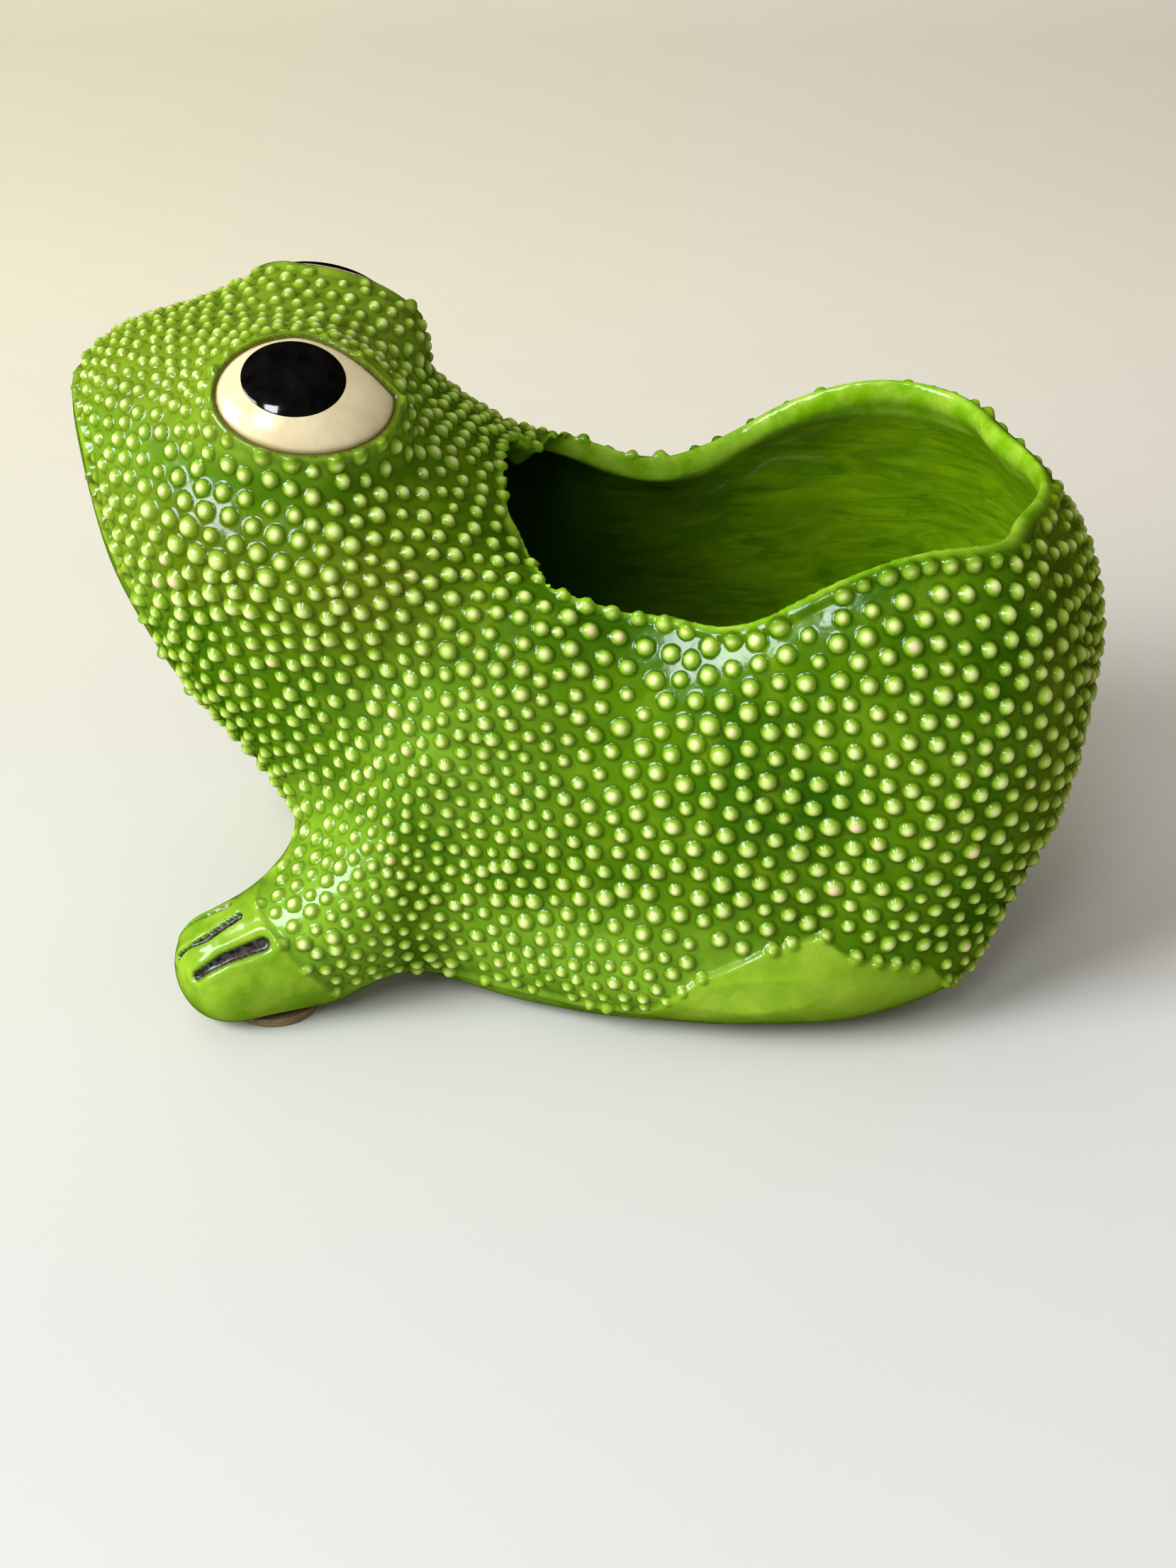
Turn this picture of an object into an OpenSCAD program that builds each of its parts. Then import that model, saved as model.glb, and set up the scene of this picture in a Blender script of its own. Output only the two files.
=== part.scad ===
// Frog planter: a hollow slip-cast ceramic frog, open along the back,
// with its glazed eyes and the four round pads that it stands on.
// The frog faces -X, Z is up, and Z = 0 is the table under the pads.

/* [Casting] */
// Overall scale of the whole frog
frog_scale = 1; // [0.6:0.05:1.6]
// Thickness of the cast wall
wall = 5; // [4.5:0.25:6]
// How far the inner edge of the rim drops below its outer edge, per mm of wall
rim_bevel = 1.2; // [0.6:0.1:1.6]
// How soft the folds between the limbs are
fold_softness = 7; // [6:0.5:8]

/* [Proportions] */
// Width across the trunk
trunk_w = 100; // [97:1:103]
// Width across the head
head_w = 100; // [97:1:103]
// Distance between the middles of the two haunches
haunch_gap = 68; // [66:1:70]

/* [Eyes] */
// Length of the eye opening, front corner to rear corner
eye_len = 37; // [34:0.2:38]
// Height of the eye opening
eye_high = 27; // [24:0.2:27.6]
// Height of the eyeball's dome above the corners of the eye
eye_dome = 3.8; // [3.2:0.1:4.4]
// How far the lids stand above the eyeball around its edge
lid_rise = 0.4; // [0.2:0.1:0.8]
// Length of the pupil
pupil_len = 21; // [16:0.2:22]
// Height of the pupil
pupil_high = 18.2; // [14:0.2:19]

/* [Front feet] */
// Width of the painted grooves between the toes
groove_w = 2.6; // [1.6:0.2:3.2]
// Depth of the grooves between the toes
groove_depth = 1; // [0.6:0.1:1.6]

// How far the right front foot is set back behind the left one
step_back = 9; // [0:1:10]

/* [Pads] */
// Diameter of the pads
pad_d = 20; // [12:1:22]
// Thickness of the pads, which sets how high the casting stands
pad_t = 2; // [2:0.5:3]

/* [Mesh] */
// Points around each section of the casting (even)
around = 44; // [32:4:52]
// Sections along the middle of the casting
along = 18; // [12:2:22]

/* [Hidden] */

// centres of the four pads: front left, front right, rear left, rear right
PADS = [[-69, -44.5], [-69 + step_back, 44.5], [58, -33], [58, 33]];
BASE = pad_t;             // height of the flat underside, on its pads

// ---- the swelling masses of the frog ---------------------------------
// each is [centre, radii, tilt about Y]; those with y > 0 come in pairs
MASSES = [
    [[ 55, 0, 70], [60, trunk_w / 2, 54], -25],                 // trunk
    [[ 60, haunch_gap / 2, 62], [43, 28, 57], 10],              // haunch
    [[  4, haunch_gap / 2, 28], [42, 15, 40], 10],              // knee
    [[ 34, haunch_gap / 2 + 4, 17], [52, 26, 15], 0],           // hind foot
    [[-28, 0, 56], [48, 40, 44], 30],                           // chest
    [[ -4, trunk_w / 2 - 12, 70], [48, 14, 30], 15],            // shoulder
    [[-55, 0, 105], [46, head_w / 2, 24], 15],                  // head
    [[-80, 0, 126], [28, 26, 15], 10],                          // muzzle
    [[-60, 22, 132], [18, 19, 14], 10],                         // brow
    [[-70, 0, 85], [28, head_w / 2 - 12, 46], -30]              // throat
];
// limbs: [start, end, start radius, end radius], in pairs
LIMBS = [
    [[-18,   29, 64  ], [-50,   38, 30  ], 15,   9   ],   // foreleg
    [[-45.5, 41, 26  ], [-77.5, 48.5, 14], 12.5,  9.5],   // ankle
    [[-60,  42,  9   ], [-76,  47,  9.5 ],  6,    7  ]    // sole of the front foot
];
WRIST = [[-45.5, 41, 26], [-46.5, 41.3, 25.5], 12.5, 12.4];   // where the ankle leaves the foreleg
// soft swellings and folds in the skin: [start, end, spread, height], in pairs
RELIEF = [
    [[-24, 50, 78], [-26, 50, 74], 13,  1.8],   // point of the shoulder
    [[ 10, 47, 92], [  2, 53, 70],  9, -2.2],   // hollow behind the shoulder
    [[ 44, 57, 92], [ 48, 58, 88], 14,  2.0],   // front of the haunch
    [[ 10, 56, 48], [ 16, 57, 44], 14,  2.6],   // knee cap
    [[ 47, 61, 76], [ 51, 63, 46],  8, -2.6],   // hollow behind the knee
    [[ 82, 54, 62], [ 80, 54, 56], 16,  1.4],   // rear of the haunch
    [[-19, 55, 66], [-39, 54, 24],  7, -2.0],   // fold behind the foreleg
    [[-39, 50, 82], [-60, 44, 44],  7, -2.2],   // fold in front of the foreleg
    [[ 20, 66, 20], [ 50, 64, 32],  4, -1.6],   // crease above the hind foot
    [[ 50, 64, 32], [ 76, 58, 22],  4, -1.6]
];

// ---- the eye's own frame (left and right eyes mirror each other) ------
EYE_C = [-56, 30, 138.5];
EYE_N = unit([0.26, 0.6, 0.76]);                        // looks out and up
EYE_U = unit([0.95, -0.29, -0.1] - EYE_N * ([0.95, -0.29, -0.1] * EYE_N));   // towards the tail
EYE_V = cross(EYE_U, EYE_N);                            // towards the brow

function unit(v) = v / norm(v);
function clamp(x, a, b) = max(a, min(b, x));
function smax(a, b, k) = let (m = max(a, b)) m + k * ln(exp((a - m) / k) + exp((b - m) / k));
function smin(a, b, k) = -smax(-a, -b, k);
function flip(p) = [p.x, -p.y, p.z];

// distance to a tilted ellipsoid, to first order
function mass_d(p, m) = let (
    q = p - m[0], r = m[1], c = cos(m[2]), s = sin(m[2]),
    x = c * q.x - s * q.z, z = s * q.x + c * q.z,
    k0 = norm([x / r.x, q.y / r.y, z / r.z]),
    k1 = norm([x / r.x / r.x, q.y / r.y / r.y, z / r.z / r.z])
) k1 < 1e-6 ? -min(r) : k0 * (k0 - 1) / k1;
// distance to a limb
function along_seg(p, a, b) = clamp(((p - a) * (b - a)) / ((b - a) * (b - a)), 0, 1);
function limb_d(p, l) = let (t = along_seg(p, l[0], l[1]))
    norm(p - l[0] - t * (l[1] - l[0])) - (l[2] + t * (l[3] - l[2]));
function relief_h(p, l) = let (t = along_seg(p, l[0], l[1]), d = norm(p - l[0] - t * (l[1] - l[0])))
    l[3] * exp(-d * d / (2 * l[2] * l[2]));
function total(v, i = 0, s = 0) = i == len(v) ? s : total(v, i + 1, s + v[i]);
function ease(a, b, x) = let (t = clamp((x - a) / (b - a), 0, 1)) t * t * (3 - 2 * t);
// height of the eyeball over the plane of the eye's corners
function dome(u, v) = eye_dome - u * u / 80 - v * v / 60;
// the head's skin d is drawn up to the eyeball around the edge of each eye
function with_eye(d, p) = let (
    q = [p.x, abs(p.y), p.z] - EYE_C, u = q * EYE_U, v = q * EYE_V, n = q * EYE_N,
    w = (1 - ease(1.04, 1.45, norm([u / 18.6, v / 13.6]))) * ease(-12, -7, n)
) w <= 0 ? d : d * (1 - w) + (n - dome(u, v) - lid_rise) * w;
// underside: flat, with a low arch behind the front feet
function base_z(x) = BASE + 2.5 * exp(-pow((x + 36) / 17, 2));
// the skin of the frog: negative inside; without its front feet when feet is false
function skin(p, feet = true) = let (
    f = flip(p),
    s = total([for (m = MASSES) exp(-mass_d(p, m) / fold_softness) + (m[0].y > 0 ? exp(-mass_d(f, m) / fold_softness) : 0)])
      + total([for (l = feet ? LIMBS : [LIMBS[0], WRIST]) exp(-limb_d(p, l) / fold_softness) + exp(-limb_d(f, l) / fold_softness)]),
    g = -fold_softness * ln(s) - total([for (l = RELIEF) relief_h(p, l) + relief_h(f, l)])
) smax(with_eye(g, p), base_z(p.x) - p.z, 0.8);

// distance from o along d to where the skin reaches the level lv, up to hi
function reach(o, d, hi, lv, ft) = let (fb = skin(o + hi * d, ft) - lv)
    fb <= 0 ? hi : seek(o, d, 0, skin(o, ft) - lv, hi, fb, lv, ft, 10);
function seek(o, d, a, fa, b, fb, lv, ft, n) = let (
    t = n > 6 ? (a + b) / 2 : (a * fb - b * fa) / (fb - fa),
    v = skin(o + t * d, ft) - lv)
    n == 0 || abs(v) < 0.02 ? t
    : v < 0 ? seek(o, d, t, v, b, n > 6 ? fb : fb * 0.7, lv, ft, n - 1)
    : seek(o, d, a, n > 6 ? fa : fa * 0.7, t, v, lv, ft, n - 1);

// A closed skin around a straight spine from a to b. Each row is one ring
// of rays; w is "up", v is "sideways". half = true mirrors y < 0 from y > 0,
// and leaves the front feet out.
function ring_dirs(e, w, v, th, k, half) = [for (j = [0 : (half ? k / 2 : k - 1)])
    let (f = 360 * j / k) cos(th) * e + sin(th) * (-cos(f) * w + sin(f) * v)];
function ring_pts(o, dirs, hi, lv, half) = let (
    h = [for (d = dirs) o + d * reach(o, d, hi, lv, !half)])
    half ? concat(h, [for (j = [len(h) - 2 : -1 : 1]) flip(h[j])]) : h;
function blob_rings(a, b, w, v, k, mid, cap, hi, lv, half) = let (e = unit(b - a)) concat(
    [for (i = [1 : cap - 1]) ring_pts(a, ring_dirs(-e, w, v, 90 * i / cap, k, half), hi, lv, half)],
    [for (i = [0 : mid]) ring_pts(a + (b - a) * i / mid, ring_dirs(e, w, v, 90, k, half), hi, lv, half)],
    [for (i = [cap - 1 : -1 : 1]) ring_pts(b, ring_dirs(e, w, v, 90 * i / cap, k, half), hi, lv, half)]);
module skin_solid(a, b, w, v, k, mid, cap, hi, lv, half) {
    e = unit(b - a);
    rings = blob_rings(a, b, w, v, k, mid, cap, hi, lv, half);
    rows = len(rings);
    pts = concat([a - e * reach(a, -e, hi, lv, !half)], [for (r = rings) each r], [b + e * reach(b, e, hi, lv, !half)]);
    last = len(pts) - 1;
    faces = concat(
        [for (j = [0 : k - 1]) [0, 1 + j, 1 + (j + 1) % k]],
        [for (i = [0 : rows - 2], j = [0 : k - 1]) let (
            p = 1 + i * k + j, q = 1 + i * k + (j + 1) % k) each [[p, p + k, q], [q, p + k, q + k]]],
        [for (j = [0 : k - 1]) [last, 1 + (rows - 1) * k + (j + 1) % k, 1 + (rows - 1) * k + j]]);
    polyhedron(pts, faces, convexity = 8);
}

// spine of the casting, from inside the head to inside the rump
HEAD_O = [-72, 0, 104];
RUMP_O = [58, 0, 62];
SP = unit(RUMP_O - HEAD_O);
SPW = [-SP.z, 0, SP.x];
LEG_A = [-52, 42, 23];
LEG_B = [-78, 49, 14];
LE = unit(LEG_B - LEG_A);
LV = unit(cross([0, 0, 1], LE));
LW = cross(LE, LV);

// height of the rim's outer edge along the frog
RIM = [[-30, 113], [-18, 109.5], [-10, 106], [-2, 101.5], [6, 98.5], [14, 97], [22, 97], [30, 98.5],
       [38, 102.5], [46, 107.5], [54, 111.5], [62, 114], [70, 115], [78, 114.5], [86, 113.5],
       [94, 112], [102, 111], [130, 110]];
function rim_z(x) = lookup(x, RIM);
// how far inside the front edge of the opening a point lies
function opening_in(x, y) = 38 * (1 - norm([min(x - 16, 0) / 33, y / 58]));
function cut_gap(p) = p.z - rim_z(p.x) - rim_bevel * clamp(skin(p, false), -wall - 2, 0)
    + 3.2 * clamp(min(opening_in(p.x, p.y) - 1, 41 - abs(p.y)), 0, 6) * clamp((28 - p.x) / 14, 0, 1);
function cut_z(x, y, lo, hi, n = 8) = let (m = (lo + hi) / 2)
    n == 0 ? m : cut_gap([x, y, m]) > 0 ? cut_z(x, y, lo, m, n - 1) : cut_z(x, y, m, hi, n - 1);
// The clay that is trimmed away above the rim. Its rings follow the wall: each
// one lies at its own depth under the skin, and all stop at the front edge.
DEPTHS = [-wall - 3.5, -wall - 2, -wall, -wall / 2, 0, 3];
function rim_at(f, s) = [16 + s * cos(f), s * sin(f)];
function rim_s(f, lv, lo, hi, n = 9) = let (m = (lo + hi) / 2, q = rim_at(f, m))
    n == 0 ? m
    : skin([q.x, q.y, rim_z(q.x) + rim_bevel * clamp(lv, -wall - 2, 0)], false) < lv ? rim_s(f, lv, m, hi, n - 1) : rim_s(f, lv, lo, m, n - 1);
function front_s(f) = cos(f) < 0 ? 1 / norm([cos(f) / 33, sin(f) / 58]) : 200;
module trimmed() {
    k = 64; n = 9;
    half = [for (i = [0 : n - 1]) [for (j = [0 : k / 2]) let (f = 360 * j / k,
        s = i < 3 ? [0.3, 0.62, 0.85][i] * min(rim_s(f, DEPTHS[0], 12, 110), front_s(f) * 0.97)
            : min(rim_s(f, DEPTHS[i - 3], 12, 110), front_s(f) * (0.955 + 0.0056 * i)),
        q = rim_at(f, s)) [q.x, q.y, cut_z(q.x, q.y, 40, 130)]]];
    ring = [for (h = half) concat(h, [for (j = [len(h) - 2 : -1 : 1]) flip(h[j])])];
    top = [for (p = ring[n - 1]) [p.x, p.y, 150]];
    pts = concat([[16, 0, cut_z(16, 0, 40, 130)]], [for (i = [0 : n - 1]) each ring[i]], top, [[16, 0, 150]]);
    last = len(pts) - 1;
    faces = concat(
        [for (j = [0 : k - 1]) [0, 1 + j, 1 + (j + 1) % k]],
        [for (i = [0 : n - 1], j = [0 : k - 1]) let (p = 1 + i * k + j, q = 1 + i * k + (j + 1) % k)
            each [[p, p + k, q], [q, p + k, q + k]]],
        [for (j = [0 : k - 1]) [last, 1 + n * k + (j + 1) % k, 1 + n * k + j]]);
    polyhedron(pts, faces, convexity = 8);
}

// the whole frog, set so that the origin is under the middle of its length
module placed() scale(frog_scale) translate([-2.25, 0, 0]) children();

// ---- eyes --------------------------------------------------------------
// eye opening: an ellipse whose upper rear side is cut by the slanting lid
function lid(u) = u < -1.5 ? 99 : eye_high / 2 * (1 - pow(clamp((u + 1.5) / (eye_len / 2 + 1.5), 0, 1), 1.7));
function eye_edge(f) = let (u = eye_len / 2 * cos(f), v = eye_high / 2 * sin(f)) [u, v > 0 ? min(v, max(lid(u), 0)) : v];
module in_eye(side) {
    u = [EYE_U.x, side * EYE_U.y, EYE_U.z];
    v = [EYE_V.x, side * EYE_V.y, EYE_V.z];
    n = [EYE_N.x, side * EYE_N.y, EYE_N.z];
    c = [EYE_C.x, side * EYE_C.y, EYE_C.z];
    multmatrix([[u.x, side * v.x, n.x, c.x], [u.y, side * v.y, n.y, c.y], [u.z, side * v.z, n.z, c.z]])
        scale([1, side, 1]) children();
}
// a closed lens: its top is the dome raised by h at the edge and h + bulge in
// the middle, its floor is the dome lowered by depth
module lens(edge_pts, h, bulge, depth, k, rows) {
    n = len(rows);
    c = total([for (p = edge_pts) p.x]) / k; d = total([for (p = edge_pts) p.y]) / k;
    q = function (p, r) [c + (p.x - c) * r, d + (p.y - d) * r];
    top = function (s, r) [s.x, s.y, dome(s.x, s.y) + h + bulge * (1 - r * r)];
    low = function (s) [s.x, s.y, dome(s.x, s.y) - depth];
    pts = concat([top([c, d], 0)],
        [for (r = rows) each [for (p = edge_pts) top(q(p, r), r)]],
        [for (r = [1, 0.6]) each [for (p = edge_pts) low(q(p, r))]], [low([c, d])]);
    last = len(pts) - 1;
    polyhedron(pts, concat(
        [for (j = [0 : k - 1]) [0, 1 + (j + 1) % k, 1 + j]],
        [for (i = [0 : n], j = [0 : k - 1]) let (p = 1 + i * k + j, s = 1 + i * k + (j + 1) % k)
            each [[p, s, p + k], [s, s + k, p + k]]],
        [for (j = [0 : k - 1]) [last, 1 + (n + 1) * k + j, 1 + (n + 1) * k + (j + 1) % k]]), convexity = 4);
}
EYE_EDGE = [for (j = [0 : 39]) eye_edge(360 * j / 40)];
PUPIL_EDGE = [for (j = [0 : 31]) [-2.75 + pupil_len / 2 * cos(360 * j / 32), 2.3 + pupil_high / 2 * sin(360 * j / 32)]];
module eyeball(up = 0) lens(EYE_EDGE, up, 0, 4, 40, [0.25, 0.5, 0.7, 0.86, 1]);
module iris(up = 0) lens(PUPIL_EDGE, up, 0.5, 1.4, 32, [0.25, 0.5, 0.75, 1]);
module eye_at(side) color("antiquewhite") placed() in_eye(side) difference() { eyeball(); iris(4); }
module pupil_at(side) color("black") placed() in_eye(side) iris();

// ---- toe grooves -------------------------------------------------------
module groove(a, b) for (s = [-1, 1]) translate([s > 0 ? step_back : 0, 0, 0]) hull() {
    translate([a.x, s * a.y, a.z]) sphere(d = groove_w, $fn = 12);
    translate([b.x, s * b.y, b.z]) sphere(d = groove_w, $fn = 12);
}
module grooves() let (up = groove_w / 2 - groove_depth) {
    groove([-89, 50.5, 19 + up], [-76, 47.5, 26.5 + up]);
    groove([-86, 57, 18.5 + up], [-74, 55, 23.5 + up]);
    groove([-88, 43, 19.5 + up], [-76, 40, 25.5 + up]);
}

// ---- the pieces --------------------------------------------------------
module body() color("limegreen") placed() resize([0, 0, 0]) difference() {
    union() {
        skin_solid(HEAD_O, RUMP_O, SPW, [0, 1, 0], around, along, 9, 120, 0, true);
        for (s = [1, -1]) translate([s > 0 ? step_back : 0, 0, 0]) scale([1, s, 1]) skin_solid(LEG_A, LEG_B, LW, LV, 24, 5, 5, 21, 0, false);
        for (p = PADS) translate([p.x, p.y, pad_t]) cylinder(d = 14, h = 5, $fn = 32);   // seats for the pads
    }
    skin_solid([-66, 0, 108], [60, 0, 62], SPW, [0, 1, 0], 32, 12, 6, 110, -wall, true);
    trimmed();
    in_eye(1) eyeball(6);
    in_eye(-1) eyeball(6);
    grooves();
    translate([0, 0, -50 + pad_t]) cube([400, 300, 100], center = true);
}
module left_eye() eye_at(-1);
module right_eye() eye_at(1);
module left_pupil() pupil_at(-1);
module right_pupil() pupil_at(1);
module pad(x, y) color([0.45, 0.36, 0.24]) placed() translate([x, y, 0])
    rotate_extrude($fn = 48) polygon([[0, 0], [pad_d / 2 - 0.5, 0], [pad_d / 2, 0.5], [pad_d / 2, pad_t - 0.3], [pad_d / 2 - 0.3, pad_t], [0, pad_t]]);
module front_left_pad() pad(PADS[0].x, PADS[0].y);
module front_right_pad() pad(PADS[1].x, PADS[1].y);
module rear_left_pad() pad(PADS[2].x, PADS[2].y);
module rear_right_pad() pad(PADS[3].x, PADS[3].y);

body();
left_eye();
right_eye();
left_pupil();
right_pupil();
front_left_pad();
front_right_pad();
rear_left_pad();
rear_right_pad();
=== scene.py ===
"""Looks for the frog planter: a glazed hobnail casting built from the same
implicit skin as the CAD body, with its eyes, pads, floor, lights and camera."""
import math
import random

import bmesh
import bpy
import numpy as np
import openvdb as vdb
from mathutils import Matrix, Vector
from mathutils.kdtree import KDTree


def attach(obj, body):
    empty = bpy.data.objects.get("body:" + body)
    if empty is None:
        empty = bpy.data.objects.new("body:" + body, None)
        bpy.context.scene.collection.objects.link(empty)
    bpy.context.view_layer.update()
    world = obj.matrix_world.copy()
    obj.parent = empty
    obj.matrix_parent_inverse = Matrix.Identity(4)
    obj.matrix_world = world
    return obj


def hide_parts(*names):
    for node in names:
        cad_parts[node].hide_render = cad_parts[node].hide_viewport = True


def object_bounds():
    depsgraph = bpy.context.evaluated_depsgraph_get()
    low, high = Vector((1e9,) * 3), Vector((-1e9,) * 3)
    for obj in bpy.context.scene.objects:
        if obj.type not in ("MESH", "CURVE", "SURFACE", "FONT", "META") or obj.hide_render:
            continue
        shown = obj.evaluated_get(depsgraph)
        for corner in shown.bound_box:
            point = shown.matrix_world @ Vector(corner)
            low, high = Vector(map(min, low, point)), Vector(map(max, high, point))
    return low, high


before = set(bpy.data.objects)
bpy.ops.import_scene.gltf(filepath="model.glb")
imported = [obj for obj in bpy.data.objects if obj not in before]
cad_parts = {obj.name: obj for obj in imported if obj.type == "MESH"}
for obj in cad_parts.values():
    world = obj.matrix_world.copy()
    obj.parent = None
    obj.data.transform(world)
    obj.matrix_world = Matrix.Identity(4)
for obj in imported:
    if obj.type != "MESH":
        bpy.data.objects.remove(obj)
cad_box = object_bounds()
scene = bpy.context.scene
rng = np.random.default_rng(7)
random.seed(7)
F4 = np.float32
MM = 0.001
SHIFT = -2.25          # the casting's own x = 0 sits here in the row frame
WALL = 5.0
CELL = 1.0

# ---------------------------------------------------------------- the skin --
MASSES = [
    ((55, 0, 70), (60, 50, 54), -25), ((60, 34, 62), (43, 28, 57), 10),
    ((4, 34, 28), (42, 15, 40), 10), ((34, 38, 17), (52, 26, 15), 0),
    ((-28, 0, 56), (48, 40, 44), 30), ((-4, 38, 70), (48, 14, 30), 15),
    ((-55, 0, 105), (46, 50, 24), 15), ((-80, 0, 126), (28, 26, 15), 10),
    ((-60, 22, 132), (18, 19, 14), 10), ((-70, 0, 85), (28, 38, 46), -30),
]
LIMBS = [
    ((-18, 29, 64), (-50, 38, 30), 15, 9),
    ((-45.5, 41, 26), (-77.5, 48.5, 14), 12.5, 9.5),
    ((-60, 42, 9), (-76, 47, 9.5), 6, 7),
]
RELIEF = [
    ((-24, 50, 78), (-26, 50, 74), 13, 1.8), ((10, 47, 92), (2, 53, 70), 9, -2.2),
    ((44, 57, 92), (48, 58, 88), 14, 2.0), ((10, 56, 48), (16, 57, 44), 14, 2.6),
    ((47, 61, 76), (51, 63, 46), 8, -2.6), ((82, 54, 62), (80, 54, 56), 16, 1.4),
    ((-19, 55, 66), (-39, 54, 24), 7, -2.0), ((-39, 50, 82), (-60, 44, 44), 7, -2.2),
    ((20, 66, 20), (50, 64, 32), 4, -1.6), ((50, 64, 32), (76, 58, 22), 4, -1.6),
]
RIM = [(-30, 113), (-18, 109.5), (-10, 106), (-2, 101.5), (6, 98.5), (14, 97), (22, 97), (30, 98.5),
       (38, 102.5), (46, 107.5), (54, 111.5), (62, 114), (70, 115), (78, 114.5), (86, 113.5),
       (94, 112), (102, 111), (130, 110)]
SOFT = 7.0
STEP = 9.0             # the right front foot (y > 0) is set back by this


def unit(v):
    v = np.asarray(v, float)
    return v / np.linalg.norm(v)


EYE_C = np.array([-56.0, 30.0, 138.5])
EYE_N = unit([0.26, 0.6, 0.76])
EYE_U = np.array([0.95, -0.29, -0.1])
EYE_U = unit(EYE_U - EYE_N * (EYE_U @ EYE_N))
EYE_V = np.cross(EYE_U, EYE_N)
EYE_LEN, EYE_HIGH, EYE_DOME, LID = 37.0, 27.0, 3.8, 0.4


def ease(a, b, x):
    t = np.clip((x - a) / (b - a), 0, 1)
    return t * t * (3 - 2 * t)


def dome(u, v):
    return EYE_DOME - u * u / 80 - v * v / 60


def seg_t(q, a, b):
    ba = np.asarray(b, F4) - np.asarray(a, F4)
    return np.clip(((q - np.asarray(a, F4)) @ ba) / F4(ba @ ba), 0, 1), ba


def outer_part(p):
    """First-order distance to the frog's skin; p is N x 3 in mm."""
    terms = []
    f = p * np.array([1, -1, 1], F4)
    for c, r, tilt in MASSES:
        ca, sa = math.cos(math.radians(tilt)), math.sin(math.radians(tilt))
        for q0 in ((p, f) if c[1] else (p,)):
            q = q0 - np.array(c, F4)
            x = ca * q[:, 0] - sa * q[:, 2]
            z = sa * q[:, 0] + ca * q[:, 2]
            a0, a1, a2 = x / r[0], q[:, 1] / r[1], z / r[2]
            k0 = np.sqrt(a0 * a0 + a1 * a1 + a2 * a2)
            k1 = np.sqrt((a0 / r[0]) ** 2 + (a1 / r[1]) ** 2 + (a2 / r[2]) ** 2) + 1e-9
            terms.append(k0 * (k0 - 1) / k1)
    for i, (a, b, ra, rb) in enumerate(LIMBS):
        for q, back in ((p, STEP), (f, 0)):
            if i and back:
                a = (a[0] + back, a[1], a[2])
                b = (b[0] + back, b[1], b[2])
            t, ba = seg_t(q, a, b)
            d = q - np.array(a, F4) - t[:, None] * ba
            terms.append(np.sqrt((d * d).sum(1)) - (ra + (rb - ra) * t))
            if i and back:
                a = (a[0] - back, a[1], a[2])
                b = (b[0] - back, b[1], b[2])
    m = np.minimum.reduce(terms)
    s = np.zeros(len(p), F4)
    for d in terms:
        s += np.exp(-(d - m) / SOFT)
    g = m - SOFT * np.log(s)
    for a, b, spread, h in RELIEF:
        for q in (p, f):
            t, ba = seg_t(q, a, b)
            d = q - np.array(a, F4) - t[:, None] * ba
            g -= h * np.exp(-(d * d).sum(1) / (2 * spread * spread))
    q = p.copy()
    q[:, 1] = np.abs(q[:, 1])
    q = q - EYE_C.astype(F4)
    u, v, n = q @ EYE_U.astype(F4), q @ EYE_V.astype(F4), q @ EYE_N.astype(F4)
    w = (1 - ease(1.04, 1.45, np.sqrt((u / 18.6) ** 2 + (v / 13.6) ** 2))) * ease(-12, -7, n)
    g = g * (1 - w) + (n - dome(u, v) - LID) * w
    base = 2 + 2.5 * np.exp(-((p[:, 0] + 36) / 17) ** 2) - p[:, 2]
    return smax(g, base, 0.8)


def smax(a, b, k):
    m = np.maximum(a, b)
    return m + k * np.log(np.exp(-(m - a) / k) + np.exp(-(m - b) / k))


def chunked(fn, p, n=60000):
    p = np.ascontiguousarray(p, F4)
    return np.concatenate([fn(p[i:i + n]) for i in range(0, len(p), n)]) if len(p) else np.zeros(0, F4)


def outer(p):
    return chunked(outer_part, p)


RIM_X = np.array([r[0] for r in RIM], float)
RIM_Z = np.array([r[1] for r in RIM], float)


def opening_in(x, y):
    return 38 * (1 - np.sqrt((np.minimum(x - 16, 0) / 33) ** 2 + (y / 58) ** 2))


def cut_of(p, o):
    """Positive where the clay is trimmed away above the rim."""
    x, y, z = p[:, 0], p[:, 1], p[:, 2]
    # the look-up table, rounded off so the rim has no corners along its length
    rz = sum(np.interp(x + d, RIM_X, RIM_Z) for d in (-6, -3, 0, 3, 6)) / 5
    b = opening_in(x, y)
    b = b + 1.5 * np.clip(-o - 0.2, 0, 6) * np.clip((4 - x) / 8, 0, 1)
    low = np.clip(np.minimum(b - 1, 41 - np.abs(y)), 0, 6) * np.clip((28 - x) / 14, 0, 1)
    a = z - rz - 1.2 * np.clip(o, -WALL - 2, 0) + 3.2 * low
    m = np.minimum(a, b)
    h = np.maximum(3 - np.abs(a - b), 0) / 3
    return (m - h * h * 0.75).astype(F4)


def shell_part(p):
    o = outer_part(p)
    sh = np.abs(o + WALL / 2) - WALL / 2
    return smax(sh, cut_of(p, o) * 0.7, 0.7)


def shell(p):
    return chunked(shell_part, p)


def newton(fn, p, rounds=2, e=0.04, cap=0.6):
    g = None
    for _ in range(rounds):
        v = fn(p)
        g = np.stack([(fn(p + np.array(d, F4) * e) - v) / e for d in ((1, 0, 0), (0, 1, 0), (0, 0, 1))], 1)
        n2 = (g * g).sum(1) + 1e-6
        step = np.clip(v / n2, -cap, cap)
        p = p - step[:, None] * g
    return p.astype(F4), g / np.sqrt((g * g).sum(1, keepdims=True) + 1e-9)


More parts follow.
